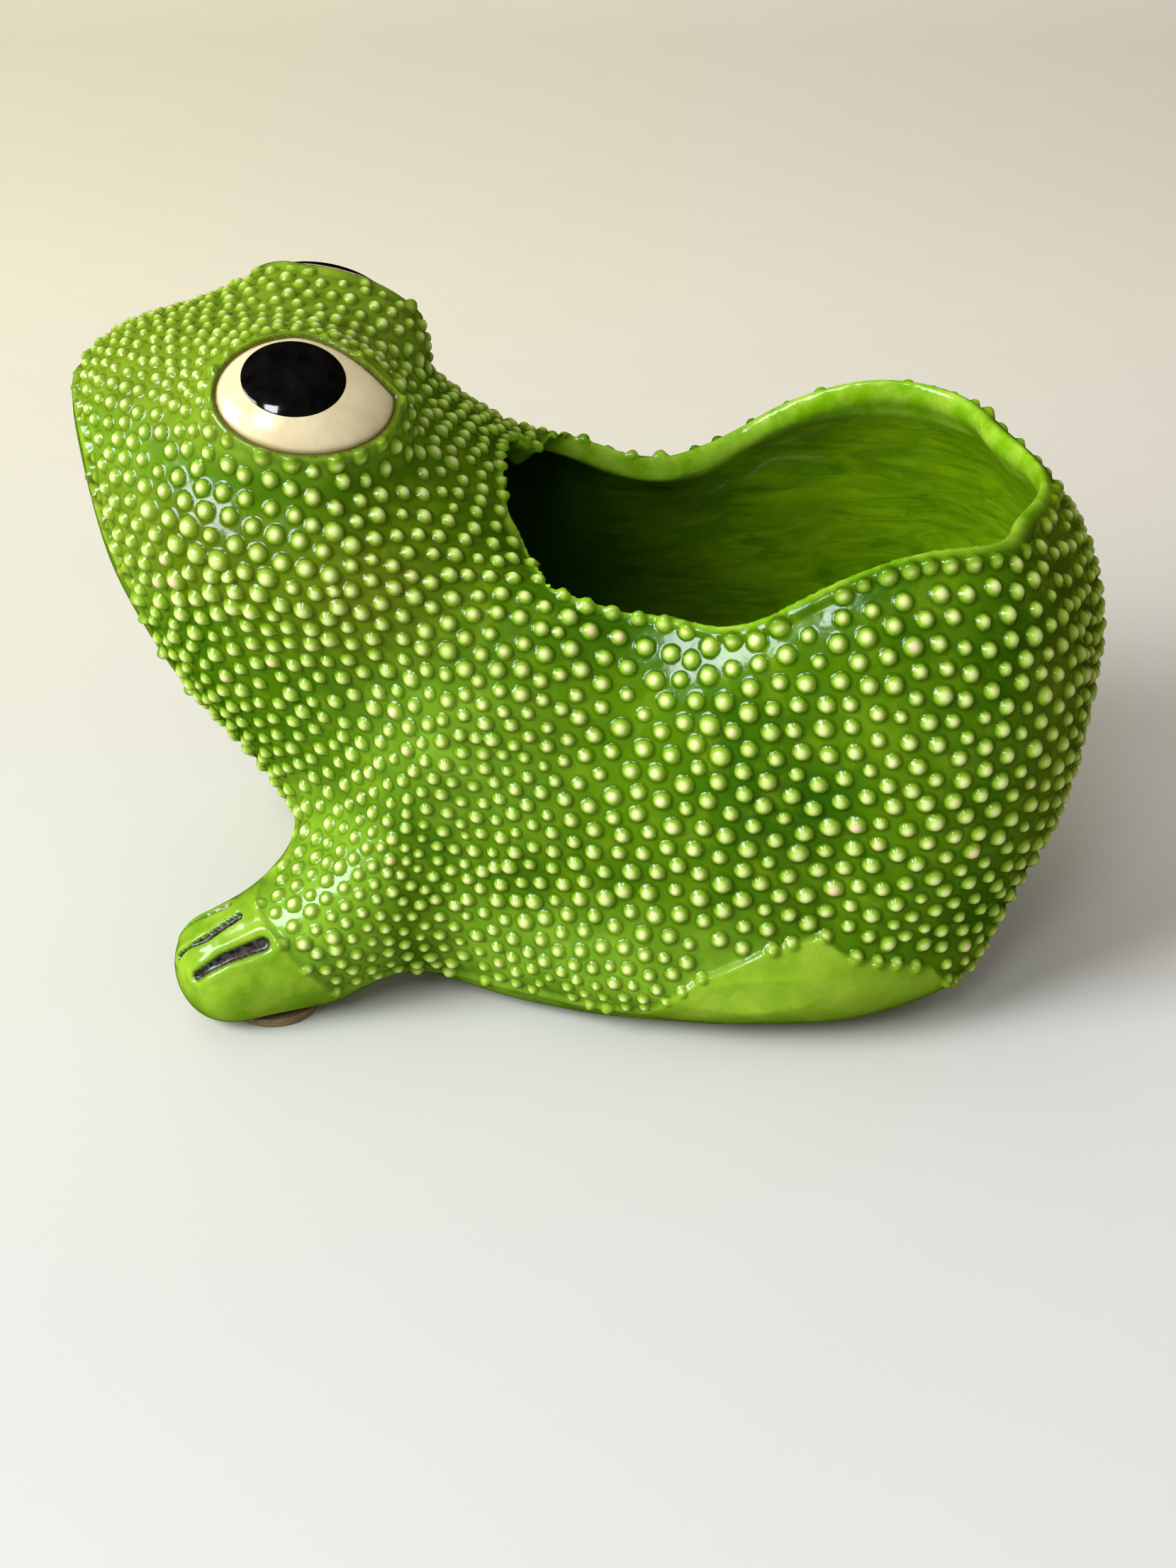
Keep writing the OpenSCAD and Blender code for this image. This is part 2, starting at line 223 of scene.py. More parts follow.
# ------------------------------------------------- polygonise the casting --
LO = np.array([-116.0, -70.0, -2.0])
DIM = np.ceil((np.array([120.0, 70.0, 154.0]) - LO) / (4 * CELL)).astype(int) * 4
cd = DIM // 4
cg = np.stack(np.meshgrid(*[np.arange(n) for n in cd], indexing="ij"), -1).reshape(-1, 3)
cp = (LO + (cg * 4 + 1.5) * CELL).astype(F4)
cv = shell(cp).reshape(cd)
near = np.abs(cv) < 4 * CELL * 1.05 + 0.6
fine_near = near.repeat(4, 0).repeat(4, 1).repeat(4, 2)
vals = np.where(cv > 0, 3.0, -3.0).astype(F4).repeat(4, 0).repeat(4, 1).repeat(4, 2)
idx = np.argwhere(fine_near)
vals[fine_near] = np.clip(shell((LO + idx * CELL).astype(F4)), -3, 3)
grid = vdb.FloatGrid(3.0)
grid.copyFromArray(np.ascontiguousarray(vals), tolerance=0)
pts, quads = grid.convertToQuads(isovalue=0.0)
pts = (LO + np.asarray(pts, float) * CELL).astype(F4)
quads = np.asarray(quads)
pts, nrm = newton(shell, pts, 2)
fn = np.cross(pts[quads[:, 2]] - pts[quads[:, 0]], pts[quads[:, 3]] - pts[quads[:, 1]])
if (fn * nrm[quads[:, 0]]).sum() < 0:
    quads = quads[:, ::-1]
print("casting", len(pts), "points", len(quads), "quads")

# refine the outer skin, where the beads are
o0 = outer(pts)
skin_v = o0 > -0.9
face_in = skin_v[quads].all(1)
bm = bmesh.new()
mesh = bpy.data.meshes.new("casting_base")
mesh.from_pydata(pts.tolist(), [], quads.tolist())
bm.from_mesh(mesh)
bm.faces.ensure_lookup_table()
edges = {e for i in np.nonzero(face_in)[0] for e in bm.faces[i].edges}
edges = sorted(edges, key=lambda e: e.index)
bmesh.ops.subdivide_edges(bm, edges=edges, cuts=1, use_grid_fill=True)
bm.to_mesh(mesh)
bm.free()
P = np.empty(len(mesh.vertices) * 3, F4)
mesh.vertices.foreach_get("co", P)
P = P.reshape(-1, 3)
P, N = newton(shell, P, 2)
O = outer(P)
print("refined", len(P))

# --------------------------------------------------------------- the zones --
EDGE_K = 96


def eye_edge(f):
    u, v = EYE_LEN / 2 * math.cos(f), EYE_HIGH / 2 * math.sin(f)
    if v > 0 and u > -1.5:
        v = min(v, max(EYE_HIGH / 2 * (1 - min(max((u + 1.5) / (EYE_LEN / 2 + 1.5), 0), 1) ** 1.7), 0))
    return u, v


EYE_OUT = np.array([eye_edge(2 * math.pi * k / EDGE_K) for k in range(EDGE_K)])


def poly_dist(q, poly):
    """Signed distance in the plane to a closed outline, negative inside."""
    best = np.full(len(q), 1e9)
    inside = np.zeros(len(q), bool)
    n = len(poly)
    for i in range(n):
        a, b = poly[i], poly[(i + 1) % n]
        ba = b - a
        l2 = ba @ ba
        if l2 < 1e-12:
            continue
        t = np.clip(((q - a) @ ba) / l2, 0, 1)
        best = np.minimum(best, ((q - a - t[:, None] * ba) ** 2).sum(1))
        c = (a[1] > q[:, 1]) != (b[1] > q[:, 1])
        if c.any():
            x = a[0] + (q[:, 1] - a[1]) / (b[1] - a[1] + 1e-15) * ba[0]
            inside ^= c & (q[:, 0] < x)
    d = np.sqrt(best)
    return np.where(inside, -d, d)


def eye_dist(p):
    """Distance outside the eye's edge (either eye), far from it 50."""
    q = p.astype(float).copy()
    q[:, 1] = np.abs(q[:, 1])
    q -= EYE_C
    u, v, n = q @ EYE_U, q @ EYE_V, q @ EYE_N
    out = np.full(len(p), 50.0)
    k = (np.abs(u) < 28) & (np.abs(v) < 23) & (np.abs(n) < 14)
    if k.any():
        out[k] = poly_dist(np.stack([u[k], v[k]], 1), EYE_OUT)
    return out


def level_feet(p):
    """p with the right front foot brought level with the left one."""
    q = p.copy()
    k = (q[:, 1] > 0) & (q[:, 2] < 45) & (q[:, 0] < -28)
    q[k, 0] -= STEP
    return q


def line_dist(p, line, mirror=True):
    """Distance from p to a polyline given for y > 0."""
    q = p.astype(float).copy()
    if mirror:
        q[:, 1] = np.abs(q[:, 1])
    best = np.full(len(q), 1e9)
    where = np.zeros(len(q))
    for i in range(len(line) - 1):
        a, b = np.array(line[i], float), np.array(line[i + 1], float)
        ba = b - a
        t = np.clip(((q - a) @ ba) / (ba @ ba), 0, 1)
        d = ((q - a - t[:, None] * ba) ** 2).sum(1)
        k = d < best
        best[k] = d[k]
        where[k] = i + t[k]
    return np.sqrt(best), where / (len(line) - 1)


MOUTH = [(-107.8, 0, 133.4), (-107.4, 5.8, 132.5), (-106, 13.9, 129.4), (-104.2, 19.9, 122.6), (-102.9, 22.2, 112.4),
         (-101.2, 23.9, 104.6), (-98.5, 26.9, 99.5), (-96.4, 28.9, 96.2)]
BIB_Z = [30, 40, 50, 60, 70, 80, 90, 96.2, 99.5, 104.6, 112.4, 122.6, 129.4, 132.5, 133.6]
BIB_Y = [8, 10, 12, 15, 19, 23, 27.5, 28.9, 26.9, 23.9, 22.2, 19.9, 13.9, 5.8, 0]
PATCH_X = [8, 16.6, 24.5, 38.5, 50.5, 58.1, 69.1, 75.7, 84]
PATCH_Z = [4, 12.4, 20.5, 26.7, 29.8, 24.9, 21.9, 19.3, 8]
FOOT_Z = [0, 13.4, 25.1, 30.9, 40]
FOOT_X = [-50, -56.2, -65.1, -71, -72]
GROOVES = [
    ([(-84.1, 60.7, 17.5), (-77.3, 60.8, 22.7), (-69.0, 59.2, 25.3)], 1.15, 1.75),
    ([(-88.9, 53.7, 18.2), (-82.7, 55.9, 25.8), (-75.5, 52.5, 29.9)], 0.75, 1.0),
    ([(-88.5, 46.5, 21.0), (-83.0, 47.0, 26.5), (-78.5, 46.5, 28.9)], 0.75, 0.9),
]


def zones(p, n, o):
    """Margins in mm, positive inside each zone."""
    p0, p = p, level_feet(p)
    x, y, z = p[:, 0].astype(float), np.abs(p[:, 1]).astype(float), p[:, 2].astype(float)
    bib = np.where((x < -40) & (n[:, 0] < 0.1), np.interp(z, BIB_Z, BIB_Y) - y, -9.0)
    bib = np.where(z > 134, -9, bib)
    patch = np.where((y > 34) & (x > 5) & (x < 88), np.interp(x, PATCH_X, PATCH_Z) - z, -9.0)
    foot = np.where((y > 24) & (z < 42), np.interp(z, FOOT_Z, FOOT_X) - x, -9.0)
    foot = np.maximum(foot, np.where((y < 40) & (z < 36) & (x < -30), 24 + (z - 36) * 0.3 + (x + 62) * -0.4 - 18, -9))
    rim = 1.5 + 1.7 * ease(14, 32, x) + cut_of(p0, o)
    under = np.where(n[:, 2] < -0.2, 9 - z, 5.0 - z)
    return bib, patch, foot, rim, under


def bare(p, n, o):
    """Positive where the skin carries no beads."""
    bib, patch, foot, rim, under = zones(p, n, o)
    eye = 2.0 - eye_dist(p)
    return np.maximum.reduce([bib, patch, foot, rim, under, eye, -(o + 1.0) * 8]), (bib, patch, foot, rim, under)


# --------------------------------------------------------------- the beads --
def pitch_at(p):
    """Bead pitch in mm: close in the folds and over the lips, open on the flanks."""
    x, y, z = p[:, 0], np.abs(p[:, 1]), p[:, 2]
    s = np.full(len(p), 4.95)
    s += 0.75 * ease(22, 45, z) * ease(-8, 10, x) * ease(112, 98, x)
    s += 0.85 * np.exp(-(((x + 78) / 22) ** 2 + ((z - 103) / 17) ** 2)) * ease(20, 38, y)
    s -= 0.55 * ease(30, 16, z) * ease(-30, -12, x) * ease(66, 50, x)
    d, _ = line_dist(p, [(-19, 55, 66), (-39, 54, 24)])
    s -= 0.75 * np.exp(-(d / 13) ** 2)
    d, _ = line_dist(p, [(-40, 48, 45), (-60, 47, 26)])
    s -= 0.85 * np.exp(-(d / 12) ** 2)
    s -= 0.55 * ease(118, 136, z) * ease(-70, -88, x)
    s -= 0.35 * ease(130, 142, z)
    s -= 0.55 * ease(26, 8, z) * ease(10, -10, np.abs(x - 5) - 30)
    return s


Bm, _ = bare(P, N, O)
ok = np.nonzero((Bm < -0.4) & (O > -0.9))[0]
area = np.zeros(len(P))
mesh.vertices.foreach_set("co", P.ravel())
mesh.update()
fa = np.empty(len(mesh.polygons))
mesh.polygons.foreach_get("area", fa)
ls = np.empty(len(mesh.polygons), int)
lt = np.empty(len(mesh.polygons), int)
mesh.polygons.foreach_get("loop_start", ls)
mesh.polygons.foreach_get("loop_total", lt)
lv = np.empty(len(mesh.loops), int)
mesh.loops.foreach_get("vertex_index", lv)
np.add.at(area, lv, np.repeat(fa / lt, lt))
s_ok = pitch_at(P[ok])
wt = area[ok] / (0.866 * s_ok ** 2)
count = int(wt.sum())
cum = np.cumsum(wt) / wt.sum()
C = P[ok[np.searchsorted(cum, (np.arange(count) + rng.random(count)) / count).clip(0, len(ok) - 1)]].astype(F4)
C = C[rng.permutation(len(C))]
C = C + rng.normal(0, 0.4, C.shape).astype(F4)


def neighbours(c, k):
    kd = KDTree(len(c))
    for i, q in enumerate(c.tolist()):
        kd.insert(q, i)
    kd.balance()
    out = np.empty((len(c), k), int)
    for i, q in enumerate(c.tolist()):
        hit = [h[1] for h in kd.find_n(q, k + 1) if h[1] != i][:k]
        out[i] = hit
    return out, kd


STEPS = 22
for it in range(STEPS):
    if it % 2 == 0:
        nb, _ = neighbours(C, 8)
        s = pitch_at(C)
    dv = C[:, None, :] - C[nb]
    dd = np.sqrt((dv ** 2).sum(2)) + 1e-6
    want = 0.5 * (s[:, None] + s[nb]) * 1.12
    push = np.clip(1 - dd / want, 0, 1) * want
    mv = (dv / dd[..., None] * push[..., None]).sum(1) * (0.34 if it < STEPS * 0.7 else 0.2)
    ln = np.sqrt((mv ** 2).sum(1, keepdims=True)) + 1e-9
    mv *= np.minimum(1, 1.2 / ln)
    D, Dn = newton(outer, (C + mv).astype(F4), 1)
    Do = outer(D)
    keep = bare(D, Dn, Do)[0] < -0.1
    C = np.where(keep[:, None], D, C)
C = C + rng.normal(0, 0.22, C.shape).astype(F4)
C, Cn = newton(outer, C, 2)
good = (bare(C, Cn, outer(C))[0] < 0.3)
C, Cn = C[good], Cn[good]
nb, _ = neighbours(C, 6)
s = pitch_at(C)
dd = np.sqrt(((C[:, None, :] - C[nb]) ** 2).sum(2))
drop = np.zeros(len(C), bool)
for i in range(len(C)):
    for j, d in zip(nb[i], dd[i]):
        if j > i and d < 0.66 * s[i] and not drop[i]:
            drop[j] = True
C, Cn, s = C[~drop], Cn[~drop], s[~drop]
print("beads", len(C))
bead_r = s * (0.33 + 0.04 * np.exp(-(((C[:, 0] + 78) / 26) ** 2 + ((C[:, 2] - 103) / 20) ** 2)))
bead_r *= np.clip(rng.normal(1.0, 0.10, len(C)), 0.76, 1.24)
bead_h = bead_r * 0.82 * rng.uniform(0.9, 1.06, len(C))
bead_w = rng.random(len(C))
_, kd = neighbours(C, 1)

# ---------------------------------------------------------- the displacement --
outer_v = O > -0.9
B, (zb, zp, zf, zr, zu) = bare(P, N, O)
bead = np.zeros(len(P))
worn = np.zeros(len(P))
lift = np.zeros(len(P))
cover = ease(0.8, -0.8, B) * outer_v
near_i = np.nonzero(outer_v & (B < 3.5))[0]
find = kd.find
hit = [find(q) for q in P[near_i].tolist()]
hj = np.array([h[1] for h in hit])
hd = np.array([h[2] for h in hit])
# distance measured along the surface, not through the height
rel = P[near_i] - C[hj]
alongn = (rel * Cn[hj]).sum(1)
hd = np.sqrt(np.maximum(hd ** 2 - alongn ** 2, 0))
t = hd / bead_r[hj]
prof = np.where(t < 1, (1 - np.minimum(t, 1) ** 2.3) ** 0.85, 0)
fillet = np.where(t >= 0.9, np.exp(-((t - 0.9) / 0.22) ** 2), 1) * 0.10
bead[near_i] = prof
height = np.zeros(len(P))
height[near_i] = bead_h[hj] * np.maximum(prof, fillet * (t >= 0.9))
worn[near_i] = bead_w[hj]
# dark ring at each bead's foot: pooled glaze, and painted shade where the bead meets the skin
pool_and_shade = np.zeros(len(P))
pool_and_shade[near_i] = np.exp(-((t - 1.12) / 0.2) ** 2)
lift += -1.15 * cover + height
lift += np.where(outer_v & (cover < 0.99), -0.25 * (1 - cover), 0)
# slow unevenness of the hand-finished clay
wob = (np.sin(P[:, 0] * 0.23 + 1.3) * np.sin(P[:, 1] * 0.19) + np.sin(P[:, 2] * 0.27 + P[:, 0] * 0.11)) * 0.12
lift += np.where(outer_v, wob * (B > 0), wob * 1.6)
# eye sockets and lids
ed = eye_dist(P)
ring = np.exp(-((ed - 0.9) / 0.75) ** 2)
lift += np.where(outer_v, 0.55 * ring, 0)
lift = np.where(outer_v & (ed < 0.35), -2.4 * ease(0.35, -0.5, ed) + 0.3 * ease(-0.5, 0.35, ed), lift)
# mouth line
mouth_on, _ = newton(outer, np.array(MOUTH, F4), 4, cap=3)
md, mt = line_dist(P, mouth_on.tolist())
lift -= np.where(outer_v, 1.1 * np.exp(-(md / 0.8) ** 2), 0)
lift += np.where(outer_v, 0.35 * np.exp(-((md - 2.0) / 1.0) ** 2), 0)
# toe grooves
black = np.zeros(len(P))
for line, wa, wb in GROOVES:
    l3, _ = newton(outer, np.array(line, F4) * np.array([1, -1, 1], F4), 4, cap=3)
    l3 = l3 * np.array([1, -1, 1], F4)
    gd, gt = line_dist(level_feet(P), l3.tolist())
    w = wa + (wb - wa) * gt
    lift -= np.where(outer_v, 0.9 * ease(1.25, 0.55, gd / w), 0)
    lift += np.where(outer_v, 0.35 * np.exp(-((gd - w * 1.9) / 1.2) ** 2), 0)
    black = np.maximum(black, ease(1.15, 0.85, gd / w) * outer_v)
P2 = P + N * lift[:, None].astype(F4)

brown = np.maximum.reduce([
    0.85 * np.exp(-((ed - 0.1) / 0.38) ** 2) * outer_v,
    0.95 * np.exp(-(md / 0.8) ** 2) * (0.6 + 0.4 * np.sin(mt * 150 + 2 * np.sin(mt * 31))) * outer_v,
])
cutv = cut_of(P, O)
# lime band of thin glaze at the lip; its extra width on the far inner wall towards the rear is painted light, where
# the key light falls into the opening
rim_glaze_and_lit_band = np.clip((cutv + 2.2 + 3.6 * ease(38, 66, P[:, 0]) * ease(0, 25, P[:, 1])) / 1.6, 0, 1)
inner = ease(-3.2, -4.4, O) * (1 - rim_glaze_and_lit_band)
PX, PY, PZ = P[:, 0], np.abs(P[:, 1]), P[:, 2]
thin = np.maximum.reduce([
    0.8 * np.exp(-(((PX + 28) / 20) ** 2 + ((PZ - 70) / 20) ** 2)), 0.9 * ease(-36, -46, PX) * ease(62, 40, PZ),
    0.75 * ease(40, 22, PZ) * ease(-40, -20, PX) * ease(50, 30, PX), 0.8 * ease(122, 134, PZ),
    0.75 * ease(-82, -94, PX) * ease(80, 100, PZ)]) * outer_v
olive = np.maximum.reduce([
    0.6 * np.exp(-(((PX + 45) / 20) ** 2 + ((PZ - 104) / 16) ** 2)), 0.55 * ease(84, 104, PX),
    0.45 * ease(124, 138, PZ), 0.4 * ease(-50, -70, PX) * ease(92, 104, PZ) * ease(128, 116, PZ),
    0.6 * ease(70, 90, PX) * ease(26, 14, PZ)]) * outer_v
lime = np.maximum.reduce([ease(-0.6, 0.8, zp), 0.9 * ease(-0.6, 0.8, zf), 0.75 * ease(-0.6, 0.8, zb)]) * outer_v

col = bpy.data.collections.new("frog")
scene.collection.children.link(col)


def piece(name, verts, faces, mat, smooth=True, attrs=None, body="root", nodes=()):
    if isinstance(verts, bpy.types.Mesh):
        me = verts
        me.name = name
    else:
        me = bpy.data.meshes.new(name)
        me.from_pydata([tuple(v) for v in verts], [], [tuple(f) for f in faces])
    if smooth:
        me.polygons.foreach_set("use_smooth", [True] * len(me.polygons))
    for k, v in (attrs or {}).items():
        a = me.attributes.new(k, "FLOAT", "POINT")
        a.data.foreach_set("value", np.ascontiguousarray(v, F4))
    me.materials.append(mat)
    me.update()
    ob = bpy.data.objects.new(name, me)
    col.objects.link(ob)
    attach(ob, body)
    if nodes:
        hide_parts(*nodes)
    return ob


# --------------------------------------------------------------- materials --
class Mat:
    def __init__(self, name):
        self.m = bpy.data.materials.new(name)
        self.m.use_nodes = True
        self.t = self.m.node_tree
        self.t.nodes.clear()
        self.out = self.t.nodes.new("ShaderNodeOutputMaterial")
        self.b = self.t.nodes.new("ShaderNodeBsdfPrincipled")
        self.t.links.new(self.b.outputs[0], self.out.inputs[0])
        self.tc = self.t.nodes.new("ShaderNodeTexCoord")

    def link(self, a, b):
        self.t.links.new(a, b)

    def attr(self, name):
        n = self.t.nodes.new("ShaderNodeAttribute")
        n.attribute_name = name
        return n.outputs["Fac"]

    def noise(self, scale, detail=3, rough=0.5, stretch=None, dist=0.0):
        n = self.t.nodes.new("ShaderNodeTexNoise")
        n.inputs["Scale"].default_value = scale
        n.inputs["Detail"].default_value = detail
        n.inputs["Roughness"].default_value = rough
        n.inputs["Distortion"].default_value = dist
        src = self.tc.outputs["Object"]
        if stretch:
            mp = self.t.nodes.new("ShaderNodeMapping")
            mp.inputs["Scale"].default_value = stretch
            self.link(src, mp.inputs["Vector"])
            src = mp.outputs[0]
        self.link(src, n.inputs["Vector"])
        return n.outputs["Fac"]

    def ramp(self, src, stops, interp="LINEAR"):
        n = self.t.nodes.new("ShaderNodeValToRGB")
        n.color_ramp.interpolation = interp
        e = n.color_ramp.elements
        while len(e) > 1:
            e.remove(e[-1])
        e[0].position, e[0].color = stops[0][0], (*stops[0][1], 1)
        for pos, c in stops[1:]:
            x = e.new(pos)
            x.color = (*c, 1)
        self.link(src, n.inputs[0])
        return n.outputs[0]

    def mix(self, fac, a, b, mode="MIX"):
        n = self.t.nodes.new("ShaderNodeMix")
        n.data_type = "RGBA"
        n.blend_type = mode
        for sock, v in ((n.inputs[0], fac), (n.inputs[6], a), (n.inputs[7], b)):
            if isinstance(v, bpy.types.NodeSocket):
                self.link(v, sock)
            elif isinstance(v, (int, float)):
                sock.default_value = v
            else:
                sock.default_value = (*v, 1)
        return n.outputs[2]

    def math(self, op, a, b=0.0, c=0.0, clamp=False):
        n = self.t.nodes.new("ShaderNodeMath")
        n.operation = op
        n.use_clamp = clamp
        for sock, v in zip(n.inputs, (a, b, c)):
            if isinstance(v, bpy.types.NodeSocket):
                self.link(v, sock)
            else:
                sock.default_value = v
        return n.outputs[0]

    def span(self, src, a, b, lo=0.0, hi=1.0):
        n = self.t.nodes.new("ShaderNodeMapRange")
        n.inputs["From Min"].default_value = a
        n.inputs["From Max"].default_value = b
        n.inputs["To Min"].default_value = lo
        n.inputs["To Max"].default_value = hi
        self.link(src, n.inputs["Value"])
        return n.outputs[0]

    def bump(self, height, strength, dist):
        n = self.t.nodes.new("ShaderNodeBump")
        n.inputs["Strength"].default_value = strength
        n.inputs["Distance"].default_value = dist
        self.link(height, n.inputs["Height"])
        self.link(n.outputs[0], self.b.inputs["Normal"])
        return n

    def set(self, **kw):
        for k, v in kw.items():
            s = self.b.inputs[k.replace("_", " ")]
            if isinstance(v, bpy.types.NodeSocket):
                self.link(v, s)
            else:
                s.default_value = v


def srgb(r, g, b):
    f = lambda c: (c / 255 / 12.92) if c / 255 <= 0.04045 else ((c / 255 + 0.055) / 1.055) ** 2.4
    return (f(r), f(g), f(b))


def green_glaze():
    m = Mat("green_glaze")
    a_bead, a_worn, a_lime = m.attr("bead"), m.attr("worn"), m.attr("lime")
    a_brown, a_black, a_inner, a_rim_and_light = m.attr("brown"), m.attr("black"), m.attr("inner"), m.attr("rim_glaze_and_light")
    big = m.noise(26, 3, 0.55)
    mid = m.noise(120, 4, 0.6)
    fine = m.noise(900, 3, 0.6)
    # glaze pools dark between the beads and runs thin over their tips; the dark ring at each bead's foot is pooled
    # glaze and painted shade
    deep = m.mix(m.span(big, 0.34, 0.66), srgb(44, 86, 1), srgb(84, 122, 4))
    deep = m.mix(m.span(mid, 0.5, 0.75, 0, 0.6), deep, srgb(118, 150, 16))
    deep = m.mix(m.math("MULTIPLY", m.attr("thin"), m.span(mid, 0.3, 0.7, 0.35, 0.95)), deep, srgb(132, 172, 44))
    deep = m.mix(m.math("MULTIPLY", m.attr("pool_and_shade"), 0.5), deep, srgb(28, 62, 0))
    body = m.mix(m.span(a_bead, 0.02, 0.5), deep, srgb(134, 168, 40))
    tip_c = m.mix(m.span(big, 0.35, 0.65), srgb(196, 211, 122), srgb(218, 222, 154))
    tip_c = m.mix(m.span(a_worn, 0.955, 0.975, 0, 0.8), tip_c, srgb(226, 196, 160))
    col = m.mix(m.span(m.math("ADD", a_bead, m.span(mid, 0, 1, -0.14, 0.14)), 0.58, 1.0), body, tip_c)
    col = m.mix(m.math("MULTIPLY", m.attr("olive"), m.span(a_bead, 0.1, 0.9, 0.6, 0.25)), col, srgb(112, 106, 22))
    limec = m.mix(m.span(mid, 0.35, 0.7), srgb(104, 150, 14), srgb(150, 184, 50))
    limec = m.mix(m.span(big, 0.35, 0.65, 0, 0.6), limec, srgb(126, 150, 34))
    col = m.mix(a_lime, col, limec)
    streak = m.noise(60, 4, 0.65, stretch=(1, 1, 5.0), dist=1.2)
    innc = m.mix(m.span(streak, 0.3, 0.7), srgb(72, 112, 2), srgb(120, 158, 10))
    innc = m.mix(m.span(mid, 0.55, 0.8, 0, 0.5), innc, srgb(52, 90, 1))
    # painted shade: the inside of the pot darkens towards the front, under the overhanging neck
    innc = m.mix(m.attr("inner_painted_shade"), innc, srgb(12, 44, 1))
    col = m.mix(a_inner, col, innc)
    # the rim's lime band: thin glaze at the lip, and painted light where it widens on the far inner wall
    rim_and_light_colour = m.mix(m.span(mid, 0.4, 0.7), srgb(116, 166, 10), srgb(164, 200, 62))
    col = m.mix(a_rim_and_light, col, rim_and_light_colour)
    col = m.mix(a_brown, col, srgb(72, 68, 18))
    blk = m.mix(m.span(fine, 0.4, 0.7), srgb(24, 20, 16), srgb(70, 66, 58))
    col = m.mix(a_black, col, blk)
    m.set(Base_Color=col)
    m.set(Roughness=m.span(m.noise(300, 3), 0.3, 0.7, 0.10, 0.24))
    m.set(IOR=1.45)
    m.set(Coat_Weight=0.5)
    m.set(Coat_Roughness=0.04)
    m.set(Subsurface_Weight=0.0)
    m.bump(m.math("ADD", m.math("MULTIPLY", fine, 0.35), m.math("MULTIPLY", m.noise(260, 2), 1.0)), 0.35, 0.00035)
    return m.m


def eye_glaze():
    m = Mat("eye_glaze")
    r = m.attr("edge")
    n = m.noise(160, 4, 0.6)
    base = m.mix(m.span(n, 0.3, 0.7), srgb(206, 188, 148), srgb(222, 206, 168))
    crz = m.noise(900, 2, 0.5)
    base = m.mix(m.span(crz, 0.62, 0.72, 0, 0.35), base, srgb(206, 184, 148))
    base = m.mix(m.span(r, 0.75, 0.1), base, srgb(140, 116, 62))
    m.set(Base_Color=base, Roughness=m.span(n, 0.3, 0.7, 0.16, 0.26), Coat_Weight=0.5, Coat_Roughness=0.06)
    m.bump(crz, 0.15, 0.0002)
    return m.m


def pupil_glaze():
    m = Mat("pupil_glaze")
    n = m.noise(260, 4, 0.6)
    m.set(Base_Color=m.mix(m.span(n, 0.35, 0.75), srgb(5, 5, 6), srgb(20, 17, 15)),
          Roughness=m.span(n, 0.3, 0.7, 0.05, 0.12), Coat_Weight=1.0, Coat_Roughness=0.03)
    m.bump(m.noise(420, 2), 0.2, 0.0002)
    return m.m


def pad_rubber():
    m = Mat("pad_rubber")
    n = m.noise(700, 4, 0.7)
    m.set(Base_Color=m.mix(m.span(n, 0.3, 0.7), srgb(104, 84, 56), srgb(140, 118, 84)),
          Roughness=m.span(n, 0.3, 0.7, 0.45, 0.7))
    m.bump(n, 0.4, 0.0002)
    return m.m


GREEN, EYE, PUPIL, PAD = green_glaze(), eye_glaze(), pupil_glaze(), pad_rubber()

# ------------------------------------------------------------- the casting --
W = P2.astype(float)
W[:, 0] += SHIFT
lo_cad, hi_cad = np.array(cad_box[0]) / MM, np.array(cad_box[1]) / MM
W = np.minimum(np.maximum(W, lo_cad + 0.02), hi_cad - 0.02)
mesh.vertices.foreach_set("co", (W * MM).ravel())
casting = piece("glazed_casting", mesh, None, GREEN, attrs={
    "bead": bead * cover, "worn": worn, "lime": lime, "brown": brown, "black": black,
    "inner": inner, "rim_glaze_and_light": rim_glaze_and_lit_band, "pool_and_shade": pool_and_shade * cover,
    "thin": thin, "olive": olive,
    # painted shade inside the pot, darker towards the front and the bottom, under the neck
    "inner_painted_shade": 0.94 * ease(64, -14, P[:, 0] + 0.25 * (P[:, 2] - 80)) ** 1.3 * inner}, nodes=("body",))


# ---------------------------------------------------------------- the eyes --
def eye_frame(side):
    n = EYE_N * (1, side, 1)
    u = EYE_U * (1, side, 1)
    v = EYE_V * (1, side, 1)
    c = EYE_C * (1, side, 1) + (SHIFT, 0, 0)
    return c, u, v, n


def disc(outline, centre, rings, height, floor):
    """A closed lens over an outline: rows of rings with height(u, v, r)."""
    outline = np.asarray(outline)
    k = len(outline)
    pts, faces = [(centre[0], centre[1], height(centre[0], centre[1], 0))], []
    for r in rings:
        for q in outline:
            s = centre + (q - centre) * r
            pts.append((s[0], s[1], height(s[0], s[1], r)))
    for q in outline:
        pts.append((q[0], q[1], height(q[0], q[1], 1) - floor))
    pts.append((centre[0], centre[1], height(centre[0], centre[1], 0) - floor))
    last = len(pts) - 1
    n = len(rings)
    for j in range(k):
        faces.append((0, 1 + j, 1 + (j + 1) % k))
        faces.append((last, 1 + n * k + (j + 1) % k, 1 + n * k + j))
    for i in range(n):
        for j in range(k):
            p, q = 1 + i * k + j, 1 + i * k + (j + 1) % k
            faces.append((p, p + k, q + k, q))
    return np.array(pts), faces


